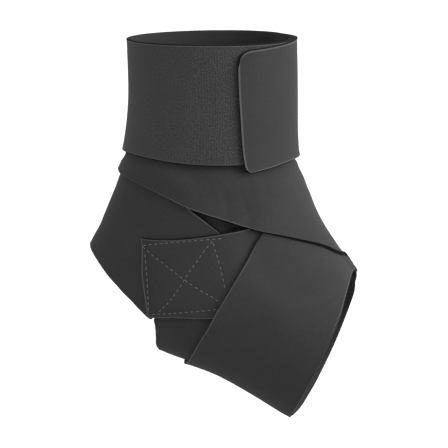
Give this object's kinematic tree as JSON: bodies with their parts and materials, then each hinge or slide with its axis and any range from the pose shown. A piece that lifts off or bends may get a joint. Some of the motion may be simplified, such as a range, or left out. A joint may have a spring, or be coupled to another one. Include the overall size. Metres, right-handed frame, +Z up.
{
  "type": "cold compression ankle wrap",
  "caption": "Stretch ankle wrap with an open heel, straps crossing over the instep, a wrap-round cuff with a hook-and-loop tab, and cold gel packs that lift out of inner sleeves.",
  "frame": {"origin": "middle of the ankle, between the malleoli", "axes": "+Z up the leg, +X towards the toes, -Y the lateral (outer) side, so the wrap fits a right foot"},
  "size_m": [0.1467, 0.0916, 0.2112],
  "materials": {
    "stretch_knit": "matte charcoal knit over foam",
    "loop_fabric": "brushed loop pile",
    "hook_tape": "moulded hooks",
    "sewing_thread": "grey thread",
    "sleeve_mesh": "black knit mesh",
    "cold_gel": "soft blue gel",
    "pack_film": "clear welded film"
  },
  "bodies": {
    "root": {"heel_panel": "stretch_knit", "arch_panel": "stretch_knit", "instep_band": "stretch_knit", "lateral_strap": "stretch_knit", "medial_strap": "stretch_knit", "cuff_loop_band": "loop_fabric", "cuff_wrap_back": "stretch_knit", "strap_landing_patch": "loop_fabric", "box_stitch_lateral": "sewing_thread", "box_stitch_medial": "sewing_thread", "sole_lap_stitch": "sewing_thread", "cuff_back_stitch": "sewing_thread", "gel_sleeve_lateral": "sleeve_mesh", "gel_sleeve_medial": "sleeve_mesh", "sleeve_mouth_tape_lateral": "sleeve_mesh", "sleeve_mouth_tape_medial": "sleeve_mesh"},
    "cuff_front": {"cuff_flap": "stretch_knit"},
    "cuff_closure": {"closure_tab": "stretch_knit", "closure_hook_pad": "hook_tape"},
    "strap_end": {"strap_tab": "stretch_knit", "strap_hook_pad": "hook_tape"},
    "pack_lateral": {"gel_front_film_lateral": "pack_film", "gel_core_lateral": "cold_gel", "gel_back_film_lateral": "pack_film"},
    "pack_medial": {"gel_front_film_medial": "pack_film", "gel_core_medial": "cold_gel", "gel_back_film_medial": "pack_film"}
  },
  "joints": [
    {"name": "cuff_flap_hinge", "type": "hinge", "parent": "root", "child": "cuff_front", "pos_m": [-0.00669, 0.0402, 0.09492], "axis": [0, 0, 1], "range_deg": [0, 40]},
    {"name": "closure_tab_hinge", "type": "hinge", "parent": "cuff_front", "child": "cuff_closure", "pos_m": [0.04675, -0.00458, 0.09523], "axis": [0, 0, 1], "range_deg": [0, 110]},
    {"name": "strap_tab_hinge", "type": "hinge", "parent": "root", "child": "strap_end", "pos_m": [0.02501, 0.03418, 0.04191], "axis": [-0.0764, 0.2679, -0.9604], "range_deg": [0, 100]},
    {"name": "gel_pack_lateral_slide", "type": "slide", "parent": "root", "child": "pack_lateral", "axis": [0, 0, 1], "range_m": [0, 0.15]},
    {"name": "gel_pack_medial_slide", "type": "slide", "parent": "root", "child": "pack_medial", "axis": [0, 0, 1], "range_m": [0, 0.15]}
  ],
  "couplings": [
    {"joint": "cuff_flap_hinge", "follows": "closure_tab_hinge", "ratio": 0.35}
  ]
}
